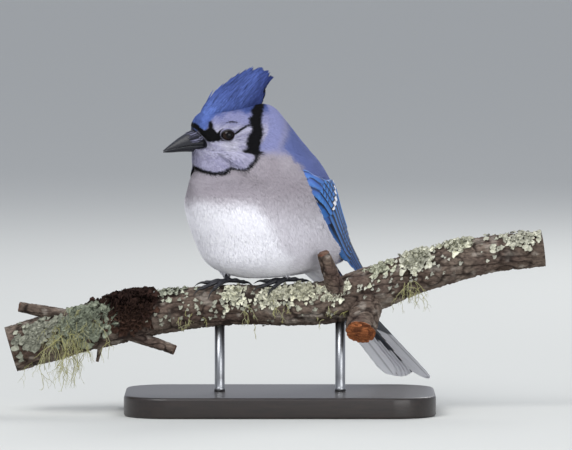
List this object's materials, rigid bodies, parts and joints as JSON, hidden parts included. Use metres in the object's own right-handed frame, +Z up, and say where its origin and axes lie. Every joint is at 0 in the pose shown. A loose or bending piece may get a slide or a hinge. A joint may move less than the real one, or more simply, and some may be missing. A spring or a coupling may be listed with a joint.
{
  "type": "blue jay",
  "caption": "Life-size crested songbird standing on a short cut length of lichened branch, its head turned aside and its tail hanging behind, over a flat display base.",
  "frame": {"origin": "centre of the display base's underside", "axes": "+Z up, +X to the right along the branch as it is first seen, +Y away from the viewer, behind the branch"},
  "size_m": [0.3143, 0.1586, 0.1977],
  "materials": {
    "crown_plumage": "soft blue crest feathers",
    "mantle_plumage": "soft violet-blue feathers",
    "breast_plumage": "soft grey to white feathers",
    "wing_feathers": "barred blue flight feathers with white tips",
    "tail_feathers": "barred blue above, grey and white below",
    "bill_horn": "slate-black horn",
    "eye": "wet dark brown",
    "foot_scales": "dark scaled skin",
    "bark": "rough bark with lichen",
    "base_wood": "dark satin wood",
    "rod_steel": "brushed"
  },
  "bodies": {
    "root": {"head": "crown_plumage", "neck": "mantle_plumage", "torso": "breast_plumage", "wing_left": "wing_feathers", "wing_right": "wing_feathers", "tail": "tail_feathers", "bill_upper": "bill_horn", "bill_lower": "bill_horn", "eye_left": "eye", "eye_right": "eye", "leg_left": "breast_plumage", "leg_right": "breast_plumage", "foot_left": "foot_scales", "foot_right": "foot_scales", "perch_branch": "bark", "stand_base": "base_wood", "stand_rod_left": "rod_steel", "stand_rod_right": "rod_steel"}
  },
  "joints": []
}
